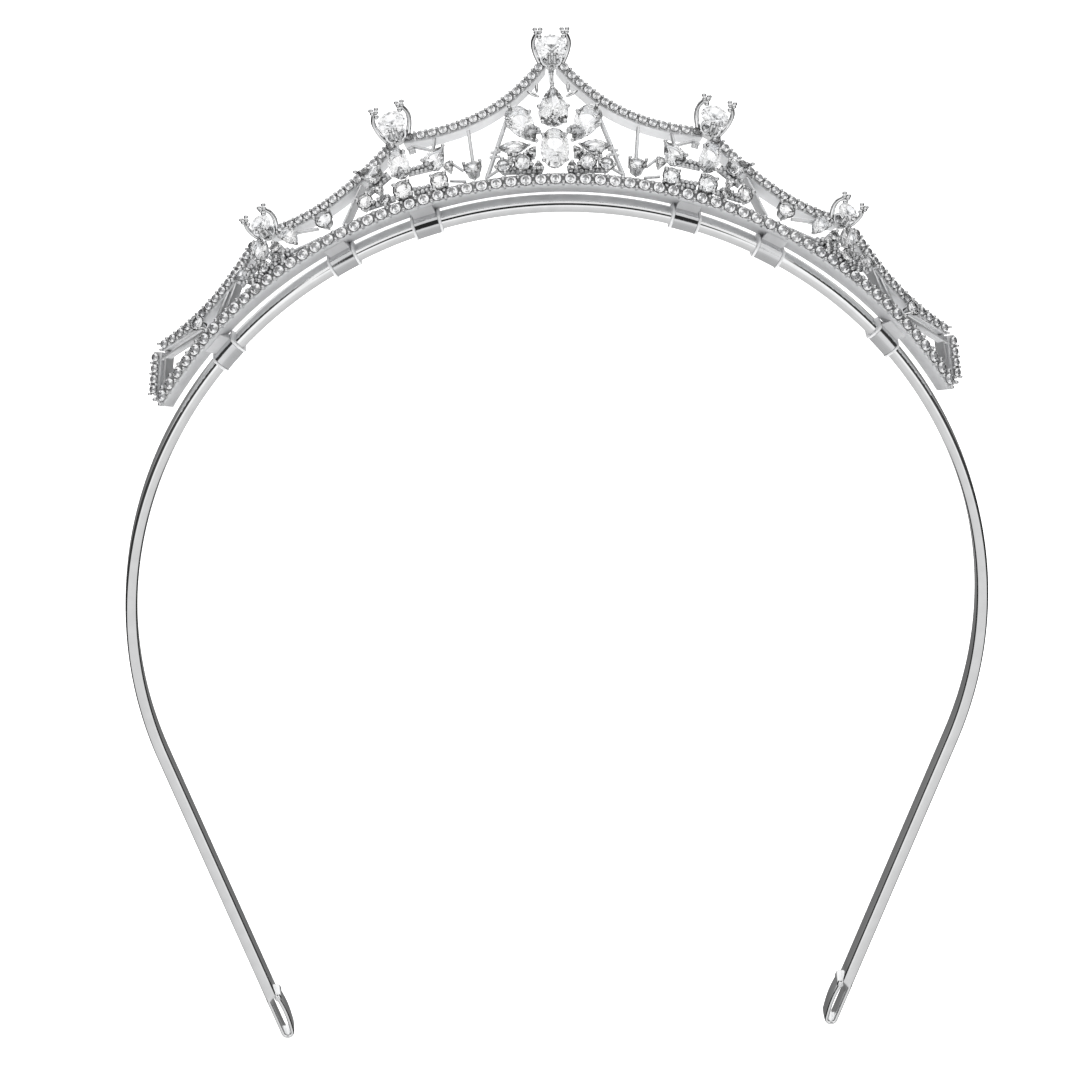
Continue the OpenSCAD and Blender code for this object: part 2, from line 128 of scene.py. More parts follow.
def math_node(tree, op, a, b=0.0, c=0.0, clamp=False):
    return node(tree, "ShaderNodeMath", {0: a, 1: b, 2: c}, operation=op, use_clamp=clamp).outputs[0]


def ramp(tree, fac, stops, interpolation="EASE"):
    n = node(tree, "ShaderNodeValToRGB", {"Fac": fac})
    n.color_ramp.interpolation = interpolation
    while len(n.color_ramp.elements) < len(stops):
        n.color_ramp.elements.new(0.5)
    for e, (pos, value) in zip(n.color_ramp.elements, stops):
        e.position = pos
        e.color = value if isinstance(value, tuple) else (value, value, value, 1)
    return n.outputs["Color"]


# ---- materials ----
DENT = 0.04 * MM


def metal(name, colour, rough, grain, metallic=1.0, painted_shade_reach=0.0):
    """Bright plated metal with faint haze and colour drift, fine polishing marks and soft dents from
    handling. Given a reach in millimetres as its last argument, it also carries painted shade: ambient
    occlusion darkens its colour in corners and gaps, as far from them as that reach."""
    mat = bpy.data.materials.new(name)
    t = new_tree(mat)
    where = node(t, "ShaderNodeTexCoord").outputs["Object"]
    haze = node(t, "ShaderNodeTexNoise", {"Vector": where, "Scale": 420.0, "Detail": 4.0}).outputs["Fac"]
    fine = node(t, "ShaderNodeTexNoise", {"Vector": where, "Scale": 5200.0, "Detail": 2.0}).outputs["Fac"]
    lo = tuple(c * 0.94 for c in colour)
    tint = ramp(t, haze, [(0.3, (*lo, 1)), (0.7, (*colour, 1))])
    rgh = node(t, "ShaderNodeMapRange", {
        "Value": fine, "To Min": rough * 0.6, "To Max": rough * 1.5}).outputs["Result"]
    wave = math_node(t, "MULTIPLY_ADD", fine, 0.35, haze)
    bump = node(t, "ShaderNodeBump", {
        "Height": wave, "Strength": grain, "Distance": DENT}).outputs["Normal"]
    # painted shade: ambient occlusion darkens the colour in corners and gaps between parts
    if painted_shade_reach:
        open_air = node(t, "ShaderNodeAmbientOcclusion", {"Distance": painted_shade_reach * MM},
                        samples=6).outputs["AO"]
        shade = ramp(t, open_air, [(0.15, 0.12), (0.45, 0.6), (0.7, 1.0)], "LINEAR")
        tint = node(t, "ShaderNodeMix", {"Factor": 1.0, 6: tint, 7: shade}, data_type="RGBA",
                    blend_type="MULTIPLY").outputs[2]
    bsdf = node(t, "ShaderNodeBsdfPrincipled", {
        "Base Color": tint, "Metallic": metallic, "Roughness": rgh, "Normal": bump})
    node(t, "ShaderNodeOutputMaterial", {"Surface": bsdf.outputs[0]})
    return mat


def crystal(name, ior, haze_scale, clear):
    """Clear cut stone: colourless, with the faintest blue drift inside and polished facets."""
    mat = bpy.data.materials.new(name)
    t = new_tree(mat)
    where = node(t, "ShaderNodeTexCoord").outputs["Object"]
    cloud = node(t, "ShaderNodeTexNoise", {
        "Vector": where, "Scale": haze_scale, "Detail": 2.0}).outputs["Fac"]
    tint = ramp(t, cloud, [(0.35, (0.955, 0.965, 0.98, 1)), (0.65, (1, 1, 1, 1))])
    rgh = node(t, "ShaderNodeMapRange", {"Value": cloud, "To Min": 0.0, "To Max": 0.03}).outputs["Result"]
    bsdf = node(t, "ShaderNodeBsdfPrincipled", {
        "Base Color": tint, "Roughness": rgh, "IOR": ior, "Transmission Weight": clear})
    node(t, "ShaderNodeOutputMaterial", {"Surface": bsdf.outputs[0]})
    return mat


PLATE = metal("rhodium_plate", (0.90, 0.905, 0.91), 0.05, 0.12)
SATIN = metal("rhodium_satin", (0.83, 0.835, 0.845), 0.4, 0.1, 0.15)
# the struts, beads and claws carry painted shade from ambient occlusion in their corners and gaps
STRUT = metal("rhodium_struts", (0.86, 0.865, 0.875), 0.18, 0.1, 0.6, painted_shade_reach=0.25)
BEADS = metal("rhodium_beads", (0.93, 0.935, 0.94), 0.09, 0.2, painted_shade_reach=0.3)
CLAWS = metal("rhodium_claws", (0.93, 0.935, 0.94), 0.06, 0.15, painted_shade_reach=0.4)
SLEEVE = metal("rhodium_sleeve", (0.66, 0.665, 0.675), 0.07, 0.25)
STONE = crystal("crystal_large", 1.8, 300.0, 1.0)
FANCY_STONE = crystal("crystal_fancy", 1.6, 300.0, 0.96)
SMALL_STONE = crystal("crystal_small", 1.85, 900.0, 1.0)


# ---- stage ----
def make_world():
    """A white tent seen by the metal and the stones: pale floor, darker low back, black cards at both
    sides and a dark opening at the front. What shows directly behind the object is plain white."""
    world = bpy.data.worlds.new("tent")
    bpy.context.scene.world = world
    t = new_tree(world)
    way = node(t, "ShaderNodeTexCoord").outputs["Generated"]
    axes = node(t, "ShaderNodeSeparateXYZ", {0: way}).outputs
    up = math_node(t, "MULTIPLY_ADD", axes[2], 0.5, 0.5)
    behind = ramp(t, up, [(0.0, 0.62), (0.12, 0.6), (0.24, 0.45), (0.33, 0.16), (0.42, 0.22), (0.47, 0.7),
                          (0.54, 1.1), (0.85, 1.0), (1.0, 0.9)])
    front = ramp(t, up, [(0.0, 0.62), (0.2, 0.66), (0.33, 0.74), (0.44, 1.0), (0.6, 1.1), (1.0, 0.9)])
    which = math_node(t, "MULTIPLY_ADD", axes[1], 2.0, 0.5, clamp=True)
    sky = node(t, "ShaderNodeMix", {"Factor": which, 6: front, 7: behind}, data_type="RGBA").outputs[2]
    side = math_node(t, "ABSOLUTE", axes[0])
    cards = node(t, "ShaderNodeMapRange", {"Value": side, "From Min": 0.68, "From Max": 0.75,
                                           "To Min": 1.0, "To Max": 0.05},
                 interpolation_type="SMOOTHSTEP").outputs["Result"]
    opening = node(t, "ShaderNodeVectorMath", {0: way, 1: (0.0, -0.87, 0.5)},
                   operation="DOT_PRODUCT").outputs["Value"]
    hole = node(t, "ShaderNodeMapRange", {"Value": opening, "From Min": 0.88, "From Max": 0.93,
                                          "To Min": 1.0, "To Max": 0.03},
                interpolation_type="SMOOTHSTEP").outputs["Result"]
    dark = math_node(t, "MULTIPLY", cards, hole)
    room = node(t, "ShaderNodeVectorMath", {0: sky, "Scale": dark}, operation="SCALE").outputs["Vector"]
    lit = node(t, "ShaderNodeBackground", {"Color": room, "Strength": 1.0}).outputs[0]
    patches = node(t, "ShaderNodeTexNoise", {"Vector": way, "Scale": 4.5, "Detail": 1.0}).outputs["Fac"]
    glow = ramp(t, patches, [(0.3, 0.5), (0.42, 0.95), (0.55, 1.15), (0.75, 1.3)])
    inside = node(t, "ShaderNodeBackground", {"Color": glow, "Strength": 1.0}).outputs[0]
    through = node(t, "ShaderNodeLightPath").outputs["Is Transmission Ray"]
    lit = node(t, "ShaderNodeMixShader", {0: through, 1: lit, 2: inside}).outputs[0]
    plain = node(t, "ShaderNodeBackground", {"Color": (1, 1, 1, 1), "Strength": 1.05}).outputs[0]
    seen = node(t, "ShaderNodeLightPath").outputs["Is Camera Ray"]
    both = node(t, "ShaderNodeMixShader", {0: seen, 1: lit, 2: plain}).outputs[0]
    node(t, "ShaderNodeOutputWorld", {"Surface": both})


def make_floor():
    """A plain white floor just below the loops, which metal and stones don't mirror."""
    mesh = bpy.data.meshes.new("floor")
    s, z = 30.0, CAD_BOX[0].z - 0.0005
    mesh.from_pydata([(-s, -s, z), (s, -s, z), (s, s, z), (-s, s, z)], [], [(0, 1, 2, 3)])
    floor = bpy.data.objects.new("floor", mesh)
    bpy.context.scene.collection.objects.link(floor)
    mat = bpy.data.materials.new("floor_white")
    t = new_tree(mat)
    bsdf = node(t, "ShaderNodeBsdfPrincipled", {
        "Base Color": (0.9, 0.9, 0.9, 1), "Roughness": 0.8,
        "Emission Color": (1, 1, 1, 1), "Emission Strength": 1.0})
    node(t, "ShaderNodeOutputMaterial", {"Surface": bsdf.outputs[0]})
    mesh.materials.append(mat)
    floor.visible_glossy = floor.visible_transmission = False


# ---- mesh building ----
def angles(n):
    return [2 * math.pi * j / n for j in range(n)]


class Shape:
    """Vertices in millimetres and faces of one piece."""

    def __init__(self):
        self.v, self.f = [], []

    def add(self, verts, faces, m=None):
        n = len(self.v)
        flip = m is not None and m.determinant() < 0
        self.v += [m @ Vector(p) if m else Vector(p) for p in verts]
        self.f += [tuple(n + i for i in (reversed(q) if flip else q)) for q in faces]

    def loft(self, rings, m=None):
        """A skin from the first ring to the last, capped at both."""
        k = len(rings[0])
        faces = [(i * k + j, i * k + (j + 1) % k, (i + 1) * k + (j + 1) % k, (i + 1) * k + j)
                 for i in range(len(rings) - 1) for j in range(k)]
        faces += [tuple(reversed(range(k))), tuple((len(rings) - 1) * k + j for j in range(k))]
        self.add([p for r in rings for p in r], faces, m)

    def hoop(self, rings, m=None):
        """A skin from each ring to the next and from the last back to the first."""
        n, k = len(rings), len(rings[0])
        faces = [(i * k + j, (i + 1) % n * k + j, (i + 1) % n * k + (j + 1) % k, i * k + (j + 1) % k)
                 for i in range(n) for j in range(k)]
        self.add([p for r in rings for p in r], faces, m)


def piece(name, shape, material, nodes, bevel=0.0, angle=35.0, flat=False):
    """Make the shape an object that stands for the CAD nodes; edges over angle stay sharp."""
    mesh = bpy.data.meshes.new(name)
    mesh.from_pydata([v * MM for v in shape.v], [], shape.f)
    bm = bmesh.new()
    bm.from_mesh(mesh)
    bmesh.ops.recalc_face_normals(bm, faces=bm.faces)
    bm.to_mesh(mesh)
    bm.free()
    if not flat:
        mesh.shade_smooth()
        mesh.set_sharp_from_angle(angle=math.radians(angle))
    mesh.materials.append(material)
    obj = bpy.data.objects.new(name, mesh)
    bpy.context.scene.collection.objects.link(obj)
    if bevel:
        mod = obj.modifiers.new("soft_edges", "BEVEL")
        mod.width, mod.segments, mod.limit_method = bevel * MM, 2, "ANGLE"
        mod.angle_limit = math.radians(40)
    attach(obj, "root")
    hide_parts(*nodes)


def lobe(shape, m, centre, r, rings=6, sides=10):
    """A closed ball, or an egg where r gives three radii."""
    r = (r, r, r) if isinstance(r, (int, float)) else r
    c = Vector(centre)
    body = [[c + Vector((r[0] * math.sin(a) * math.cos(b), r[1] * math.sin(a) * math.sin(b),
                         r[2] * math.cos(a))) for b in angles(sides)]
            for a in (math.pi * i / rings for i in range(1, rings))]
    verts = [c + Vector((0, 0, r[2]))] + [p for ring in body for p in ring] + [c - Vector((0, 0, r[2]))]
    faces = [(0, 1 + j, 1 + (j + 1) % sides) for j in range(sides)]
    for i in range(rings - 2):
        a = 1 + i * sides
        faces += [(a + j, a + sides + j, a + sides + (j + 1) % sides, a + (j + 1) % sides)
                  for j in range(sides)]
    a = 1 + (rings - 2) * sides
    faces += [(a + (j + 1) % sides, a + j, len(verts) - 1) for j in range(sides)]
    shape.add(verts, faces, m)


def spline(points, steps=6):
    """A smooth run of points through the given ones."""
    pts = [Vector(p) for p in points]
    ends = [2 * pts[0] - pts[1], *pts, 2 * pts[-1] - pts[-2]]
    out = []
    for i in range(1, len(ends) - 2):
        a, b, c, d = ends[i - 1:i + 3]
        for k in range(steps):
            s = k / steps
            out.append(0.5 * (2 * b + (c - a) * s + (2 * a - 5 * b + 4 * c - d) * s * s
                              + (3 * b - a - 3 * c + d) * s ** 3))
    return out + [pts[-1]]


def wire(shape, m, points, radii, sides=10, wide=1.0, side=(0, 0, 1)):
    """A round or oval rod along points; radii run from first to last, wide stretches it along side."""
    pts = [Vector(p) for p in points]
    rings = []
    for i, p in enumerate(pts):
        t = (pts[min(i + 1, len(pts) - 1)] - pts[max(i - 1, 0)]).normalized()
        u = t.cross(Vector(side))
        u = u.normalized() if u.length > 1e-6 else t.orthogonal().normalized()
        w = u.cross(t)
        s = i / (len(pts) - 1)
        r = radii[0] + (radii[1] - radii[0]) * s
        rings.append([p + u * (r * math.cos(a)) + w * (r * wide * math.sin(a))
                      for a in angles(sides)])
    shape.loft(rings, m)


def claw(shape, m, foot, tip, r, inward=(0, 0)):
    """A prong from foot to tip with a rounded head that leans over the stone."""
    foot, tip = Vector(foot), Vector(tip)
    lean = Vector((inward[0], inward[1], 0))
    wire(shape, m, [foot, (foot + tip) / 2, tip], (r * 0.75, r * 0.95), sides=8)
    lobe(shape, m, tip + lean * 0.35 * r, (r * 1.12, r * 1.12, r * 0.95), rings=6, sides=8)


# ---- places on the crown ----
def turn(axis, degrees):
    return Matrix.Rotation(math.radians(degrees), 4, axis)


def shift(x, y, z):
    return Matrix.Translation((x, y, z))


MIRROR = Matrix.Diagonal((-1, 1, 1, 1))


def crown(theta, h, side=1):
    """x to the right, y up the crown's surface, z out of it."""
    m = (shift(0, CROWN_Y, CROWN_Z - CROWN_R) @ turn("Y", theta) @ shift(0, 0, CROWN_R)
         @ turn("X", -LEAN) @ shift(0, 0, h) @ turn("X", 90))
    return MIRROR @ m if side < 0 else m


def arc_mm(h):
    """Length of one degree along the crown at height h."""
    return (CROWN_R + h * math.cos(math.radians(LEAN))) * math.pi / 180


def crown_point(theta, h, z=0.0):
    return crown(theta, h) @ Vector((0, 0, z))


def curve(c, s):
    """Angle and height at share s of a scallop."""
    return tuple((1 - s) ** 2 * c[0][i] + 2 * s * (1 - s) * c[1][i] + s * s * c[2][i] for i in (0, 1))


def heading(c, s):
    """Slope of a scallop in degrees."""
    a, b = curve(c, max(0, s - 0.02)), curve(c, min(1, s + 0.02))
    return math.degrees(math.atan2(b[1] - a[1], (b[0] - a[0]) * arc_mm(curve(c, s)[1])))


def across(c, s, up, z):
    """The point at share s of a scallop, up from its line and z out of the crown."""
    p, a = curve(c, s), math.radians(heading(c, s))
    return crown_point(p[0] - up * math.sin(a) / arc_mm(p[1]), p[1] + up * math.cos(a), z)


# ---- stones ----
# An outline takes a share from 0 to 1 of the way round and gives x and y.
def round_line(t):
    a = 2 * math.pi * t
    return math.cos(a) / 2, math.sin(a) / 2


def pear_line(wide, long):
    return lambda t: (wide / 1.54 * math.sin(2 * math.pi * t) * math.sin(math.pi * t),
                      long / 2 * math.cos(2 * math.pi * t))


def oval_line(wide, long):
    return lambda t: (wide / 2 * math.cos(2 * math.pi * t), long / 2 * math.sin(2 * math.pi * t))


def marquise_line(wide, long):
    def line(t):
        a = 2 * math.pi * t
        return long / 2 * math.sin(a), math.copysign(wide / 2 * math.cos(a) ** 2, math.cos(a))
    return line


def cut_stone(line, width):
    """Facets of a stone cut to an outline, with its girdle at z = 0: table, stars, girdle, pavilion."""
    def ring(k, scale, z, half=0.0):
        spots = [line((j + half) / k) for j in range(k)]
        return [(x * scale, y * scale, z * width) for x, y in spots]

    mains = 8
    pts = (ring(mains, 0.57, 0.16) + ring(mains, 0.81, 0.098, 0.5) + ring(2 * mains, 1, 0.018)
           + ring(2 * mains, 1, -0.018) + ring(mains, 0.56, -0.212, 0.5) + ring(mains, 0.05, -0.42))
    bm = bmesh.new()
    for p in pts:
        bm.verts.new(p)
    res = bmesh.ops.convex_hull(bm, input=bm.verts)
    spare = set(res["geom_interior"] + res["geom_unused"])
    bmesh.ops.delete(bm, geom=[g for g in spare if isinstance(g, bmesh.types.BMVert)], context="VERTS")
    bmesh.ops.dissolve_limit(bm, angle_limit=math.radians(1.0), verts=bm.verts, edges=bm.edges)
    bmesh.ops.recalc_face_normals(bm, faces=bm.faces)
    bm.verts.index_update()
    out = [tuple(v.co) for v in bm.verts], [tuple(v.index for v in f.verts) for f in bm.faces]
    bm.free()
    return out


BRILLIANT = cut_stone(round_line, 1.0)


def brilliant(shape, m, d):
    """A round stone, turned and tipped a little as a setter leaves it."""
    spin = turn("Z", rng.uniform(0, 45)) @ turn("X", rng.uniform(-3, 3))
    shape.add(BRILLIANT[0], BRILLIANT[1], m @ spin @ Matrix.Diagonal((d, d, d, 1)))


# ---- headband ----
def strip_section(t, w, r, swell):
    """Rounded rectangle, t across and w deep, with faces that swell a little in the middle."""
    pts = []
    cx, cy = t / 2 - r, w / 2 - r
    for quarter, (sx, sy) in enumerate(((1, 1), (-1, 1), (-1, -1), (1, -1))):
        for k in range(5):
            a = math.radians(90 * quarter + 22.5 * k)
            pts.append((sx * cx + r * math.cos(a), sy * cy + r * math.sin(a)))
        if sx == sy:
            pts += [(x * cx * sx, sy * w / 2) for x in (0.5, 0.0, -0.5)]
        else:
            pts += [(sx * t / 2, y * cy * sy) for y in (0.6, 0.2, -0.2, -0.6)]
    return [(x - math.copysign(swell[0], x) * (y / (w / 2)) ** 2 * min(1, abs(x) / (t / 2)),
             y - math.copysign(swell[1], y) * (x / (t / 2)) ** 2 * min(1, abs(y) / (w / 2)))
            for x, y in pts]


def band_stations():
    """Right half of the band from the top down: centre, outward direction and thickness."""
    mid = BAND_R - BAND_T / 2
    out = []
    for k in range(90 + int(LEG_SLANT) + 1):
        a = math.radians(k)
        n = Vector((math.sin(a), 0, math.cos(a)))
        out.append((n * mid, n, BAND_T))
    down = Vector((n.z, 0, -n.x))
    start, straight, strand = n * mid, LEG_LEN - LOOP_LEN, LOOP_LEN - LOOP_W / 2
    shoulder, taper = straight - 0.3, 0.9
    out += [(start + down * (shoulder * k / 16), n, BAND_T) for k in range(1, 17)]
    for k in range(1, 6):
        s = k / 5
        t = BAND_T + (LOOP_T - BAND_T) * s * s * (3 - 2 * s)
        out.append((start + down * (shoulder + taper * s) + n * ((BAND_T - t) / 2), n, t))
    edge, rest = (BAND_T - LOOP_T) / 2, straight + strand - shoulder - taper
    out += [(start + down * (shoulder + taper + rest * k / 4) + n * edge, n, LOOP_T) for k in range(1, 5)]
    pivot = start + down * (straight + strand) + n * (BAND_T / 2 - LOOP_W / 2)
    r = (LOOP_W - LOOP_T) / 2
    for k in range(1, 13):
        b = math.radians(15 * k)
        d = n * math.cos(b) + down * math.sin(b)
        out.append((pivot + d * r, d, LOOP_T))
    for k in range(1, 9):
        bow = 0.3 * math.sin(math.pi * k / 8)
        out.append((pivot - n * (r + bow) - down * (strand * k / 8), -n, LOOP_T))
    return [(p + Vector((0, 0, BAND_Z)), d, t) for p, d, t in out]


def make_headband():
    """The band with its folded loops in one run, its corners crisper on the legs, and the rolled end of
    each loop's strand."""
    shape = Shape()
    right = band_stations()
    left = [(Vector((-p.x, p.y, p.z)), Vector((-d.x, d.y, d.z)), t) for p, d, t in right[:0:-1]]
    rings = []
    for p, d, t in left + right:
        corner = 0.28 + 0.24 * min(1.0, max(0.0, (p.z + 75.0) / 30.0))
        sec = strip_section(t, BAND_W, min(corner, 0.42 * t), (0.05, 0.16 * min(1, t / BAND_T)))
        rings.append([p + d * x + Vector((0, y, 0)) for x, y in sec])
    shape.loft(rings)
    half_curl = ((1.7, 0.62), (1.98, 0.57), (2.14, 0.46), (2.2, 0.3))
    curl = [(-y, r) for y, r in reversed(half_curl)] + list(half_curl)
    top = LEG_LEN - LOOP_LEN + 0.4
    for side in (1, -1):
        m = (Matrix.Diagonal((side, 1, 1, 1)) @ shift(0, 0, BAND_Z) @ turn("Y", 90 + LEG_SLANT)
             @ shift(0, 0, BAND_R - BAND_T / 2))
        shape.loft([[Vector((top + 1.35 * r * math.cos(b), y, -BAND_T / 2 + r * math.sin(b)))
                     for b in angles(20)] for y, r in curl], m)
    piece("headband_steel", shape, PLATE, ["headband"], angle=50)


# ---- clips ----
def make_clip(theta, side, name):
    """A sleeve bent round the band with a bulging front and a thin rim at each end, and behind its
    front edge a saddle up to the underside of the base rail."""
    shape, rims = Shape(), Shape()
    half = CLIP_LEN / BAND_R * 90 / math.pi
    m = MIRROR if side < 0 else None
    t, w, rim = BAND_T + 2 * CLIP_T, BAND_W + 2 * CLIP_T, 0.32

    def frame_at(a):
        n = Vector((math.sin(math.radians(a)), 0, math.cos(math.radians(a))))
        return n, n * (BAND_R - BAND_T / 2) + Vector((0, 0, BAND_Z))

    def sleeve(target, start, end, steps, grow):
        rings = []
        for k in range(steps + 1):
            n, p = frame_at(theta + start + (end - start) * k / steps)
            sec = strip_section(t + grow, w + grow, 0.4, (0.05, 0.55))
            rings.append([p + n * x + Vector((0, y, 0)) for x, y in sec])
        target.loft(rings, m)

    sleeve(shape, -half + rim, half - rim, 8, -0.1)
    sleeve(rims, -half, -half + rim, 1, 0.1)
    sleeve(rims, half - rim, half, 1, 0.1)
    rings = []
    for k in range(9):
        a = theta + (half - 0.5) * (k / 4 - 1)
        n, p = frame_at(a)
        top = [crown_point(a, -0.02, -1.0), crown_point(a, -0.02, -RAIL_DEPTH + 0.3)]
        base = [p + n * (BAND_T / 2 + 0.3) + Vector((0, y, 0)) for y in (BAND_W / 2 - 0.3, -0.2)]
        rings.append([*top, *base])
    rims.loft(rings, m)
    word = WORD[side]
    cad = [f"clip_{word}_{name}"]
    piece(f"clip_sleeve_{word}_{name}", shape, SLEEVE, cad, bevel=0.08, angle=50)
    piece(f"clip_rims_{word}_{name}", rims, SATIN, cad, bevel=0.06, angle=50)


# ---- rails ----
def make_base_rail():
    """An L-shaped strip: a seat for the stones on a thin deep blade."""
    shape = Shape()
    b = 0.12
    sec = [(0, -b), (b, 0), (BASE_D - b, 0), (BASE_D, -b), (BASE_D, -SEAT_DEPTH + b),
           (BASE_D - b, -SEAT_DEPTH), (STRIP_T, -SEAT_DEPTH), (STRIP_T, -RAIL_DEPTH + b),
           (STRIP_T - b, -RAIL_DEPTH), (b, -RAIL_DEPTH), (0, -RAIL_DEPTH + b)]
    rings = []
    for k in range(121):
        a = RAIL_HALF * (k / 60 - 1)
        m = crown(a, 0)
        rings.append([m @ Vector((0, y, z)) for y, z in sec])
    shape.loft(rings)
    piece("base_rail_strip", shape, SATIN, ["base_rail"], angle=30)


def span_frames(c, steps, sec, side):
    rings = [[across(c, k / steps, y, z) for y, z in sec] for k in range(steps + 1)]
    return [[MIRROR @ p for p in r] for r in rings] if side < 0 else rings


def make_top_rail(name, side):
    """One scallop, or an end bar, with the same L shape as the base rail."""
    shape = Shape()
    b, low, high = 0.09, -TOP_D / 2 - 0.1, TOP_D / 2
    seat = -SEAT_DEPTH + 0.2
    sec = [(low, -b), (low + b, 0), (high - b, 0), (high, -b), (high, seat + b), (high - b, seat),
           (low + STRIP_T, seat), (low + STRIP_T, -RAIL_DEPTH + b), (low + STRIP_T - b, -RAIL_DEPTH),
           (low + b, -RAIL_DEPTH), (low, -RAIL_DEPTH + b)]
    shape.loft(span_frames(SPANS[name], 12 if name == "end" else 36, sec, side))
    word = WORD[side]
    cad = f"end_bar_{word}" if name == "end" else f"top_rail_{word}_{name}"
    piece(f"{cad}_strip", shape, SATIN, [cad], angle=30)


def cup(shape, m, d, depth):
    """The open seat under a small stone."""
    ring = [(0.37 * d, -depth), (0.45 * d, -0.1 * d), (0.47 * d, 0.02 * d), (0.43 * d, 0.02 * d),
            (0.36 * d, -0.16 * d), (0.28 * d, -depth)]
    shape.hoop([[Vector((r * math.cos(a), r * math.sin(a), z)) for r, z in ring] for a in angles(14)], m)


def make_base_row():
    """Stones in open seats, with a pair of beads between each two."""
    beads, stones = Shape(), Shape()
    for i in range(BASE_N):
        m = crown(BASE_SPAN * (i / (BASE_N - 1) - 0.5), BASE_H) @ shift(0, 0, GIRDLE_H * BASE_D)
        brilliant(stones, m, BASE_D * 0.97)
        cup(beads, m, BASE_D, CUP_DEPTH * BASE_D)
    for i in range(BASE_N + 1):
        m = crown(BASE_SPAN * ((i - 0.5) / (BASE_N - 1) - 0.5), BASE_H)
        for y in (-1, 1):
            jog = rng.uniform(-0.05, 0.05)
            claw(beads, m, (jog, y * 0.35 * BASE_D, 0), (jog, y * 0.33 * BASE_D, 0.42 * BASE_D), 0.33)
    piece("base_row_beads", beads, BEADS, ["base_row_prongs"])
    piece("base_row_cut_stones", stones, SMALL_STONE, ["base_row_stones"], flat=True)


def make_top_row():
    """The same on the scallops and the end bars, in smaller stones."""
    beads, stones = Shape(), Shape()
    for side in (-1, 1):
        for name, c in SPANS.items():
            n = SPAN_STONES[name]
            for i in range(n):
                f = (i + 0.5) / n
                m = crown(*curve(c, f), side) @ turn("Z", heading(c, f)) @ shift(0, 0, GIRDLE_H * TOP_D)
                brilliant(stones, m, TOP_D)
                cup(beads, m, TOP_D, CUP_DEPTH * TOP_D)
                f = (i + 1) / n
                m = crown(*curve(c, f), side) @ turn("Z", heading(c, f))
                for y in (-1, 1):
                    claw(beads, m, (0, y * 0.4 * TOP_D, 0), (0, y * 0.38 * TOP_D, 0.42 * TOP_D), 0.25)
    piece("top_row_beads", beads, BEADS, ["top_row_prongs"])
    piece("top_row_cut_stones", stones, SMALL_STONE, ["top_row_stones"], flat=True)


# ---- peaks ----
def make_peak(kind, side, word):
    """A big brilliant between two tall claws with double-beaded heads and a split claw in front."""
    theta, h, d, stone_d = PEAKS[kind]
    m = crown(theta, h, side) @ shift(0, 0, PEAK_PROUD * d) @ turn("X", -PEAK_TILT)
    claws, stone = Shape(), Shape()
    brilliant(stone, m, stone_d)
    for s in (-1, 1):
        path = spline([(s * 0.34 * d, -0.2 * d, -0.64 * d), (s * 0.53 * d, 0.08 * d, -0.32 * d),
                       (s * 0.57 * d, 0.24 * d, -0.02 * d), (s * 0.47 * d, 0.33 * d, 0.26 * d)])
        wire(claws, m, path, (0.42, 0.34), wide=1.3, side=(0, 1, 0))
        tip = Vector((s * 0.43 * d, 0.36 * d, 0.34 * d))
        heads = ((-0.44, 0.3, 0.15, 0.4), (0.44, 0.3, 0.15, 0.4), (-0.3, -0.42, 0.25, 0.4),
                 (0.3, -0.42, 0.25, 0.4), (-0.2 * s, -1.15, 0.05, 0.44))
        for dx, dy, dz, r in heads:
            lobe(claws, m, tip + Vector((dx, dy, dz)), r, rings=8, sides=12)
    for dx in (-0.42, 0.42):
        path = spline([(0.7 * dx, -0.26 * d, -0.66 * d), (dx, -0.5 * d, -0.34 * d),
                       (dx, -0.6 * d, -0.05 * d), (dx, -0.5 * d, 0.2 * d)])
        wire(claws, m, path, (0.3, 0.3), sides=10)
        lobe(claws, m, (dx, -0.46 * d, 0.23 * d), (0.33, 0.34, 0.28), rings=8, sides=12)
    cone = ((0.26, -0.66), (0.3, -0.6), (0.34, -0.44), (0.36, -0.38), (0.31, -0.38), (0.26, -0.46),
            (0.2, -0.66))
    rings = [[Vector((r * d * math.cos(a), -0.2 * d + r * d * math.sin(a), z * d))
              for a in angles(20)] for r, z in cone]
    claws.loft(rings, m)
    piece(f"peak_claws_{word}", claws, CLAWS, [f"peak_setting_{word}"], angle=60)
    piece(f"peak_brilliant_{word}", stone, STONE, [f"peak_stone_{word}"], flat=True)


# ---- motifs ----
# fancy stones: angle, height, width, length and, where the stone is turned, its turn
PEAR = (0, 13.0, 4.9, 7.3)
OVAL = (0, 5.65, 4.7, 7.0)
SIDE_PEAR = (3.45, 10.1, 4.2, 7.3, 148)
MARQUISE = (4.75, 6.55, 2.0, 5.0)
MIDDLE_OVAL = (18.1, 7.6, 3.4, 5.5, 0)
MIDDLE_PEARS = ((13.85, 6.95, 3.3, 4.6, 45), (21.7, 7.8, 2.9, 4.5, 300))
OUTER_OVAL = (37.2, 5.4, 2.8, 3.7, 37)
OUTER_PEARS = ((33.2, 4.5, 2.6, 3.4, 168), (40.6, 4.15, 2.1, 3.4, 275))
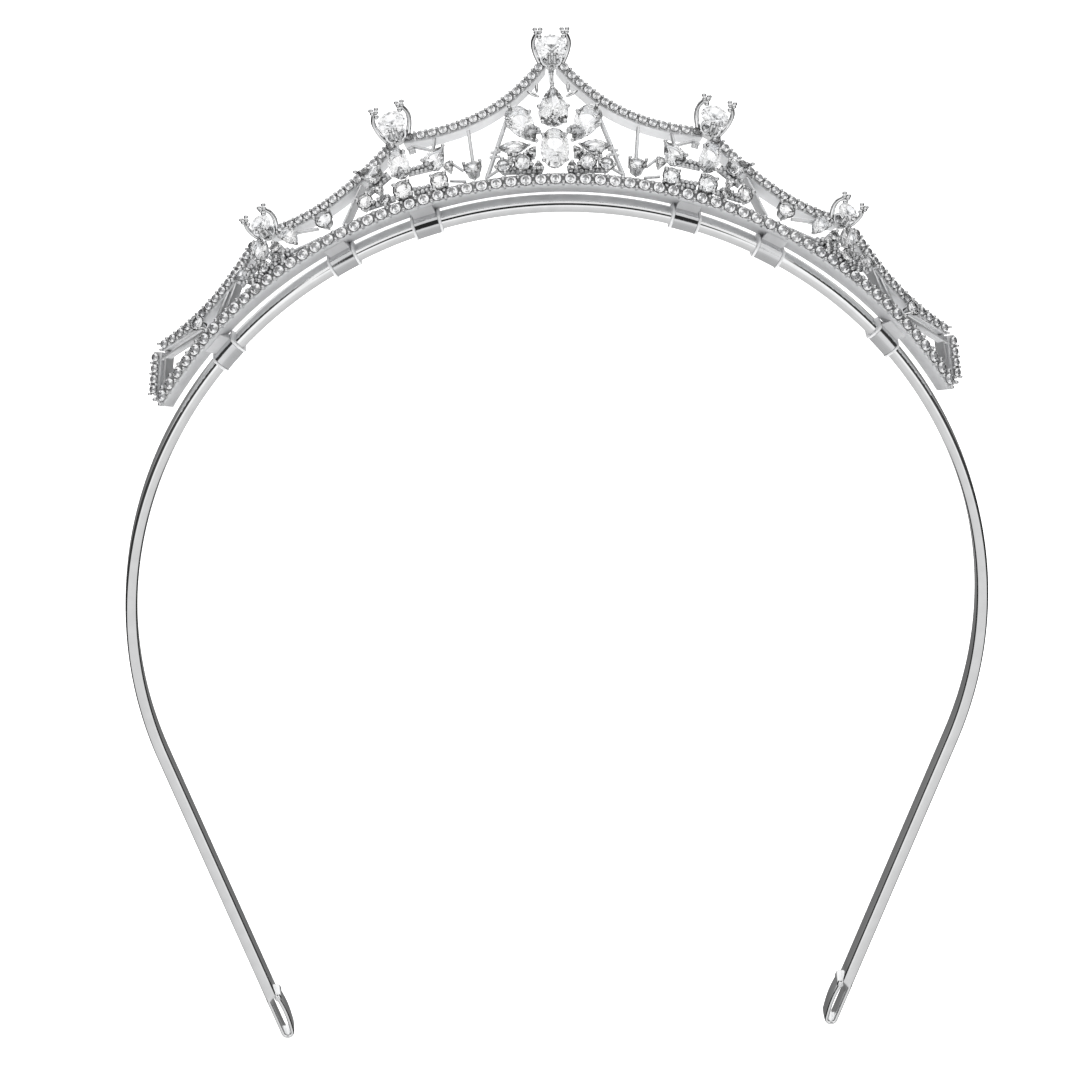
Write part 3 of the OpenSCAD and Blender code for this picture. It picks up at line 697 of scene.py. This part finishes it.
# round stones: angle, height, size and the angle of the first claw
CENTRE_ROUNDS = ((6.15, 3.3, 2.4, 85), (3.85, 3.5, 3.0, 20), (2.0, 2.7, 1.4, 90), (5.2, 4.88, 1.0, 60),
                 (2.65, 5.3, 1.4, 5))
MIDDLE_ROUNDS = ((18.5, 3.05, 3.3, 45), (14.0, 2.8, 3.0, 45), (23.2, 3.5, 2.7, 30), (21.0, 2.55, 1.8, 30),
                 (21.25, 4.65, 1.5, 25), (12.55, 4.95, 1.5, 20))
OUTER_ROUNDS = ((35.2, 4.15, 1.7, 90), (37.75, 2.6, 2.2, 80), (35.25, 2.2, 1.6, 30),
                (39.95, 2.0, 1.4, 20))
# stones over this size have four claws, the others three
FOUR_CLAWS_OVER = 2.2
# height of the round stones over the crown's surface, and how far below it all settings stand
ROUND_PROUD, FOOT = 1.4, 0.5
# where an oval's claws are, as shares of the way round
OVAL_CLAWS = (0.11, 0.39, 0.61, 0.89)
# single stones between the motifs: angle, height, size and how far they look up
ACCENTS = ((9.8, 3.85, 3.0, 26), (28.6, 3.9, 3.0, 10), (48.5, 3.3, 2.61, 6))
# bars between the rails and the settings: two ends as angle and height, width, depth
STRUTS = (((9.6, 10.9), (9.7, 4.6), 0.6, 0.6), ((5.2, 11.6), (8.3, 2.2), 0.65, 1.0),
          ((8.2, 2.4), (6.4, 3.6), 0.45, 0.6), ((12.5, 6.4), (11.0, 4.2), 0.45, 0.6),
          ((12.8, 3.0), (10.9, 2.3), 0.45, 0.6), ((14.2, 8.0), (13.4, 11.0), 0.5, 0.8),
          ((23.0, 7.1), (26.8, 2.1), 0.45, 2.8), ((29.9, 3.6), (33.0, 5.3), 0.45, 0.8),
          ((30.0, 1.9), (34.0, 2.5), 0.45, 1.2), ((41.8, 4.4), (44.9, 1.9), 0.45, 2.6),
          ((43.3, 4.0), (46.6, 1.9), 0.45, 2.6), ((49.0, 3.1), (53.4, 5.2), 0.45, 1.0),
          ((48.9, 1.9), (55.2, 4.8), 0.55, 1.8), ((54.0, 5.2), (57.4, 1.9), 0.35, 2.4),
          ((6.3, 6.4), (7.5, 6.5), 0.4, 0.6), ((6.4, 5.6), (7.7, 5.7), 0.4, 0.6),
          ((16.2, 10.5), (14.1, 8.9), 0.45, 0.8), ((15.9, 9.6), (16.7, 9.6), 0.9, 0.5),
          ((1.6, 2.5), (6.4, 2.9), 1.1, 0.7), ((1.5, 9.6), (3.2, 9.2), 1.2, 0.7),
          ((2.3, 5.0), (5.4, 4.9), 0.9, 0.6), ((17.4, 6.2), (14.4, 6.0), 1.3, 0.7),
          ((17.4, 2.6), (14.9, 2.5), 1.2, 0.7), ((19.8, 2.8), (23.2, 3.0), 1.2, 0.7),
          ((19.6, 7.0), (22.6, 5.4), 1.5, 0.7), ((33.6, 2.6), (40.2, 2.2), 1.1, 0.7),
          ((35.3, 5.4), (36.4, 3.0), 1.4, 0.7), ((38.4, 4.2), (41.6, 3.2), 1.1, 0.7))
# bars wider than this carry pairs of beads about this far apart
BROAD = 0.85


def fancy(setting, stone, m, line, width, at, proud, r=0.34):
    """A fancy-cut stone proud of the crown in an open basket: two gallery wires inside its outline and
    claws at some shares of the way round."""
    m, drop = m @ shift(0, 0, proud), proud + FOOT
    stone.add(*cut_stone(line, width), m)
    steps = 28
    for scale, z, thick in ((0.8, -0.3 * width, 0.2), (0.62, -drop + 0.15, 0.24)):
        spots = [line(j / steps) for j in range(steps)]
        loop = [Vector((x * scale, y * scale, z)) for x, y in spots]
        rings = []
        for j in range(steps):
            t = (loop[(j + 1) % steps] - loop[j - 1]).normalized()
            u = t.cross(Vector((0, 0, 1)))
            rings.append([loop[j] + u * (thick * math.cos(a)) + Vector((0, 0, thick * math.sin(a)))
                          for a in angles(6)])
        setting.hoop(rings, m)
    for s in at:
        x, y = line(s)
        n = Vector((x, y, 0)).normalized()
        foot = (x * 0.66, y * 0.66, -drop)
        tip = (x * 1.02 + n.x * 0.05, y * 1.02 + n.y * 0.05, 0.1 * width)
        claw(setting, m, foot, tip, r, (-n.x, -n.y))


def set_round(setting, stone, m, d, start, count, drop, foot=0.36, past=0.06, over=0.12, r=0.0):
    """A brilliant in an open cup: foot and over place its claws by its size, past is their gap to it."""
    brilliant(stone, m, d)
    cup(setting, m @ shift(0, 0, -0.05 * d), d * 0.9, drop)
    r = r or 0.27 + 0.03 * d
    for i in range(count):
        a = math.radians(start + i * 360 / count)
        u = Vector((math.cos(a), math.sin(a), 0))
        claw(setting, m, u * (foot * d) + Vector((0, 0, -drop)),
             u * (0.5 * d + past) + Vector((0, 0, over * d)), r, (-u.x, -u.y))


def fancy_pieces(name, setting, stone, tail=""):
    piece(f"{name}_basket{tail}", setting, CLAWS, [f"{name}_setting{tail}"])
    piece(f"{name}_cut{tail}", stone, FANCY_STONE, [f"{name}_stone{tail}"], flat=True)


def make_centre():
    """The big pear with a pair of leaves above it, the oval below it, and the bar under the top peak."""
    setting, stone = Shape(), Shape()
    m = crown(*PEAR[:2])
    fancy(setting, stone, m, pear_line(*PEAR[2:]), PEAR[2], (0.0, 0.26, 0.4, 0.6, 0.74), 1.5)
    for s in (-1, 1):
        leaf = m @ shift(s * 3.1, 2.3, 0.9) @ turn("Z", s * 28)
        lobe(setting, leaf, (0, 0, 0), (1.15, 0.36, 0.34), rings=8, sides=12)
        lobe(setting, m, (s * 2.5, 3.3, 1.1), (0.3, 0.95, 0.34), rings=8, sides=12)
    fancy_pieces("centre_pear", setting, stone)
    setting, stone = Shape(), Shape()
    fancy(setting, stone, crown(*OVAL[:2]), oval_line(*OVAL[2:]), OVAL[2], OVAL_CLAWS, 1.6)
    fancy_pieces("centre_oval", setting, stone)
    bar = Shape()
    m = crown(0, 18.9)
    for x in (-0.28, 0.28):
        wire(bar, m, [(x, 1.9, -0.5), (x * 1.1, 0, -0.2), (x * 0.5, -1.9, -0.4)], (0.24, 0.2), sides=8)
    lobe(bar, m, (0, 0.3, -0.25), (0.3, 1.6, 0.3))
    piece("apex_bar_pair", bar, CLAWS, ["apex_bar"])


def make_cluster(own, side, rounds, fancies, cad_setting, cad_stone):
    """The small stones of one motif, all their settings in one piece and all the stones in another."""
    word = WORD[side]
    setting, stone = Shape(), Shape()
    for t, h, d, start in rounds:
        set_round(setting, stone, crown(t, h, side) @ shift(0, 0, ROUND_PROUD), d, start,
                  4 if d > FOUR_CLAWS_OVER else 3, ROUND_PROUD + FOOT)
    for place, line, width, at, proud in fancies:
        fancy(setting, stone, place, line, width, at, proud, 0.32)
    piece(f"{own}_baskets_{word}", setting, CLAWS, [f"{cad_setting}_{word}"])
    piece(f"{own}_cuts_{word}", stone, FANCY_STONE, [f"{cad_stone}_{word}"], flat=True)


def make_struts(side):
    """Bars between the rails; the broad ones are covered with small beads."""
    bars = Shape()
    for (t0, h0), (t1, h1), thick, depth in STRUTS:
        tm, hm = (t0 + t1) / 2, (h0 + h1) / 2
        run, rise = (t1 - t0) * arc_mm(hm), h1 - h0
        half = math.hypot(run, rise) / 2
        m = crown(tm, hm, side) @ turn("Z", math.degrees(math.atan2(rise, run)))
        b = 0.3 * thick
        sec = [(-thick / 2, -b), (-thick / 2 + b, 0), (thick / 2 - b, 0), (thick / 2, -b),
               (thick / 2, -depth + b), (thick / 2 - b, -depth), (-thick / 2 + b, -depth),
               (-thick / 2, -depth + b)]
        bars.loft([[Vector((x, y, z)) for y, z in sec] for x in (-half, half)], m)
        if thick > BROAD:
            beads = max(2, round(2 * half / BROAD))
            for i in range(beads):
                for y in (-0.3, 0.3):
                    x = (2 * half - 0.4) * ((i + 0.5 + y) / beads - 0.5)
                    lobe(bars, m, (x, y * thick, rng.uniform(0.15, 0.5)), rng.uniform(0.36, 0.46))
    word = WORD[side]
    piece(f"struts_{word}_bars", bars, STRUT, [f"struts_{word}"], angle=25)


def make_side(side):
    """The motifs and struts of one half."""
    tail = f"_{WORD[side]}"
    setting, stone = Shape(), Shape()
    t, h, wide, long, a = SIDE_PEAR
    fancy(setting, stone, crown(t, h, side) @ turn("Z", a), pear_line(wide, long), wide,
          (0.0, 0.3, 0.5, 0.7), 1.2)
    fancy_pieces("side_pear", setting, stone, tail)
    setting, stone = Shape(), Shape()
    t, h, wide, long = MARQUISE
    fancy(setting, stone, crown(t, h, side), marquise_line(wide, long), wide, (0.25, 0.75), 1.0, 0.24)
    fancy_pieces("marquise", setting, stone, tail)
    make_cluster("centre_rounds", side, CENTRE_ROUNDS, [], "centre_round_collets", "centre_round_stones")
    for own, oval, pears, rounds in (("middle_motif", MIDDLE_OVAL, MIDDLE_PEARS, MIDDLE_ROUNDS),
                                     ("outer_motif", OUTER_OVAL, OUTER_PEARS, OUTER_ROUNDS)):
        t, h, wide, long, a = oval
        fancies = [(crown(t, h, side) @ turn("Z", a), oval_line(wide, long), wide, OVAL_CLAWS, 1.3)]
        for t, h, wide, long, a in pears:
            fancies.append((crown(t, h, side) @ turn("Z", a), pear_line(wide, long), wide,
                            (0.0, 0.36, 0.64), 1.1))
        make_cluster(own, side, rounds, fancies, f"{own}_settings", f"{own}_stones")
    make_struts(side)


def make_accents():
    """The six single stones between the motifs."""
    setting, stone = Shape(), Shape()
    for side in (-1, 1):
        for t, h, d, tilt in ACCENTS:
            m = crown(t, h, side) @ shift(0, 0, 1.3) @ turn("X", -tilt)
            set_round(setting, stone, m, d, 30, 3, 1.6, foot=0.4, past=0.12, over=0.2, r=0.28)
    piece("accent_baskets", setting, CLAWS, ["accent_settings"])
    piece("accent_cuts", stone, STONE, ["accent_stones"], flat=True)


# ---- build ----
make_camera()
make_world()
make_floor()
bpy.context.scene.view_settings.view_transform = "Standard"
make_headband()
for side in (-1, 1):
    for theta, name in zip(CLIP_AT, ("inner", "middle", "outer")):
        make_clip(theta, side, name)
    for name in SPANS:
        make_top_rail(name, side)
make_base_rail()
make_base_row()
make_top_row()
make_peak("centre", 1, "centre")
for side in (-1, 1):
    make_peak("middle", side, WORD[side])
    make_peak("outer", side, f"outer_{WORD[side]}")
    make_side(side)
make_centre()
make_accents()
